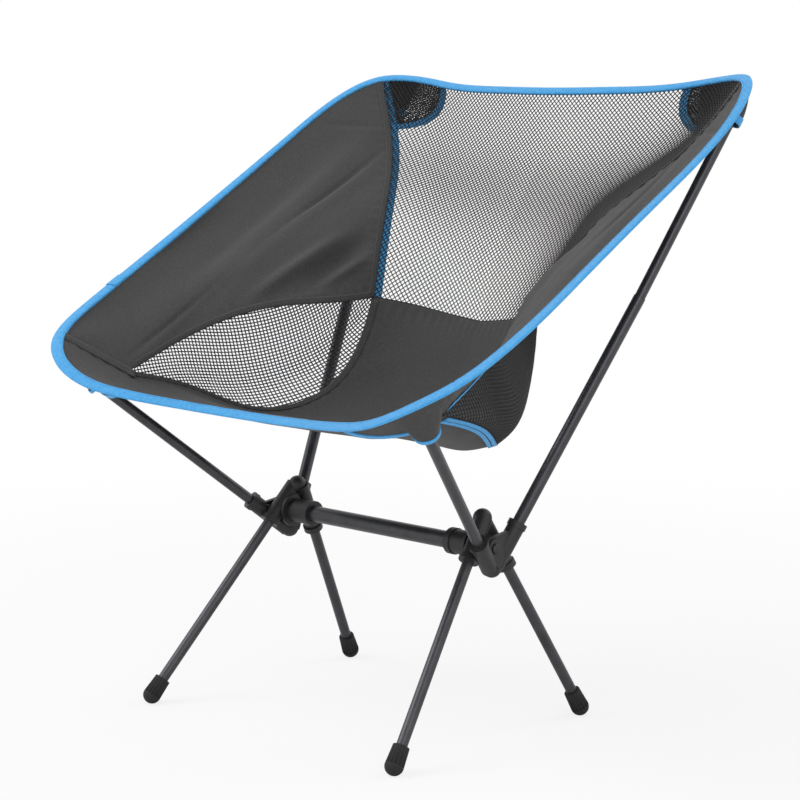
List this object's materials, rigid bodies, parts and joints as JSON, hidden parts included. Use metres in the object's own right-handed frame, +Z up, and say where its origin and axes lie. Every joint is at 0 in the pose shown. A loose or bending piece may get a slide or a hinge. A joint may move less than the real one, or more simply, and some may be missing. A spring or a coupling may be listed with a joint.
{
  "type": "backpacking chair",
  "caption": "Ultralight backpacking chair: hammock seat of black cloth and net with blue edge tape, slung on a plug-in tube frame with moulded hubs.",
  "frame": {"origin": "on the ground, under the middle of the chair", "axes": "+Z up, -Y towards the front of the seat, +X to the right seen from the front"},
  "size_m": [0.5928, 0.5013, 0.6426],
  "materials": {
    "anodised_tube": "black anodised, satin",
    "moulded_nylon": "moulded, fine grain",
    "rivet_steel": "blackened",
    "ferrule_alloy": "bare, drawn",
    "foot_rubber": "matte, fluted",
    "shock_cord": "braided",
    "polyester_cloth": "plain weave, 600 denier",
    "polyester_net": "open warp-knit net",
    "blue_tape": "woven binding tape"
  },
  "bodies": {
    "hub_frame": {"crossbar_tube": "anodised_tube", "hub_left": "moulded_nylon", "hub_right": "moulded_nylon", "hub_rivet_left": "rivet_steel", "hub_rivet_right": "rivet_steel", "leg_shock_cords": "shock_cord", "pole_shock_cords": "shock_cord"},
    "leg_front_left": {"leg_front_left": "anodised_tube", "foot_front_left": "foot_rubber"},
    "leg_front_right": {"leg_front_right": "anodised_tube", "foot_front_right": "foot_rubber"},
    "leg_rear_left": {"leg_rear_left": "anodised_tube", "foot_rear_left": "foot_rubber"},
    "leg_rear_right": {"leg_rear_right": "anodised_tube", "foot_rear_right": "foot_rubber"},
    "pole_front_left": {"pole_front_left": "anodised_tube", "tip_cap_front_left": "moulded_nylon"},
    "pole_rear_left": {"pole_rear_lower_left": "anodised_tube", "pole_rear_upper_left": "anodised_tube", "ferrule_left": "ferrule_alloy", "tip_cap_rear_left": "moulded_nylon"},
    "pole_front_right": {"pole_front_right": "anodised_tube", "tip_cap_front_right": "moulded_nylon"},
    "pole_rear_right": {"pole_rear_lower_right": "anodised_tube", "pole_rear_upper_right": "anodised_tube", "ferrule_right": "ferrule_alloy", "tip_cap_rear_right": "moulded_nylon"},
    "seat": {"seat_panel": "polyester_cloth", "back_net": "polyester_net", "edge_binding": "blue_tape", "side_panel_left": "polyester_cloth", "side_net_left": "polyester_net", "corner_patch_left": "polyester_net", "corner_tape_left": "blue_tape", "back_seam_tape_left": "blue_tape", "upper_seam_tape_left": "blue_tape", "lower_seam_tape_left": "blue_tape", "pocket_front_left": "polyester_cloth", "pocket_front_left_tape": "blue_tape", "pocket_rear_left": "polyester_cloth", "pocket_rear_left_tape": "blue_tape", "side_panel_right": "polyester_cloth", "side_net_right": "polyester_net", "corner_patch_right": "polyester_net", "corner_tape_right": "blue_tape", "back_seam_tape_right": "blue_tape", "upper_seam_tape_right": "blue_tape", "lower_seam_tape_right": "blue_tape", "pocket_front_right": "polyester_cloth", "pocket_front_right_tape": "blue_tape", "pocket_rear_right": "polyester_cloth", "pocket_rear_right_tape": "blue_tape"}
  },
  "joints": [
    {"name": "leg_front_left_pull", "type": "slide", "parent": "hub_frame", "child": "leg_front_left", "axis": [-0.1508, -0.6198, -0.7702], "range_m": [0, 0.045], "stiffness_N_per_m": 150, "springref_m": -0.07},
    {"name": "leg_front_right_pull", "type": "slide", "parent": "hub_frame", "child": "leg_front_right", "axis": [0.1508, -0.6198, -0.7702], "range_m": [0, 0.045], "stiffness_N_per_m": 150, "springref_m": -0.07},
    {"name": "leg_rear_left_pull", "type": "slide", "parent": "hub_frame", "child": "leg_rear_left", "axis": [-0.158, 0.4638, -0.8718], "range_m": [0, 0.045], "stiffness_N_per_m": 150, "springref_m": -0.07},
    {"name": "leg_rear_right_pull", "type": "slide", "parent": "hub_frame", "child": "leg_rear_right", "axis": [0.158, 0.4638, -0.8718], "range_m": [0, 0.045], "stiffness_N_per_m": 150, "springref_m": -0.07},
    {"name": "seat_lift", "type": "slide", "parent": "hub_frame", "child": "seat", "axis": [0, 0, 1], "range_m": [0, 0.25], "deforming": ["pocket_front_left", "pocket_front_left_tape", "pocket_rear_left", "pocket_rear_left_tape", "pocket_front_right", "pocket_front_right_tape", "pocket_rear_right", "pocket_rear_right_tape"]},
    {"name": "pole_front_left_pull", "type": "slide", "parent": "hub_frame", "child": "pole_front_left", "axis": [-0.3416, -0.6974, 0.63], "range_m": [0, 0.045]},
    {"name": "pole_front_right_pull", "type": "slide", "parent": "hub_frame", "child": "pole_front_right", "axis": [0.3416, -0.6974, 0.63], "range_m": [0, 0.045]},
    {"name": "pole_rear_left_pull", "type": "slide", "parent": "hub_frame", "child": "pole_rear_left", "axis": [-0.1873, 0.4921, 0.8502], "range_m": [0, 0.045]},
    {"name": "pole_rear_right_pull", "type": "slide", "parent": "hub_frame", "child": "pole_rear_right", "axis": [0.1873, 0.4921, 0.8502], "range_m": [0, 0.045]}
  ],
  "couplings": [
    {"joint": "pole_front_left_pull", "follows": "seat_lift", "ratio": 0.16},
    {"joint": "pole_front_right_pull", "follows": "seat_lift", "ratio": 0.16},
    {"joint": "pole_rear_left_pull", "follows": "seat_lift", "ratio": 0.16},
    {"joint": "pole_rear_right_pull", "follows": "seat_lift", "ratio": 0.16}
  ]
}
